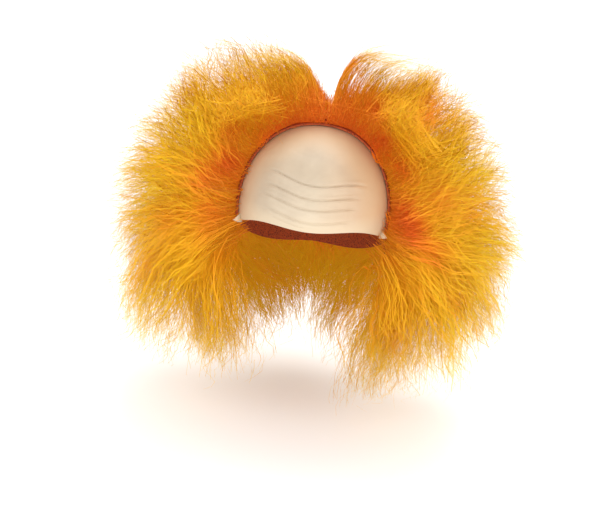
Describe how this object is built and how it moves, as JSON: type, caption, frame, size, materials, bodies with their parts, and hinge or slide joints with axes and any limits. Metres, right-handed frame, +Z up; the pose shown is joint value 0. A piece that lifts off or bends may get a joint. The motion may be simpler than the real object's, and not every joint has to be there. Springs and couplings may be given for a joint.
{
  "type": "clown wig with a bald latex front",
  "caption": "Worn wig: a moulded latex forehead with wrinkle lines and temple tabs, a hollow cap, and big frizzy orange hair all round, parted at the top.",
  "frame": {"origin": "inside the crown, where the top of a head meets the wig: the mount head_seat", "axes": "+Z up, -Y towards the face side with the latex forehead, +X to the wearer's left, which is the right of the picture"},
  "size_m": [0.4355, 0.3043, 0.3879],
  "materials": {
    "latex": "satin moulded latex in a pale skin tone",
    "cap_net": "dark orange knitted wig net",
    "hair": "crimped synthetic hair, red-orange at the roots to golden orange"
  },
  "bodies": {
    "root": {"forehead": "latex", "cap": "cap_net", "hair_top_left": "hair", "hair_top_right": "hair", "hair_side_left": "hair", "hair_side_right": "hair", "hair_back_left": "hair", "hair_back_right": "hair"}
  },
  "joints": []
}
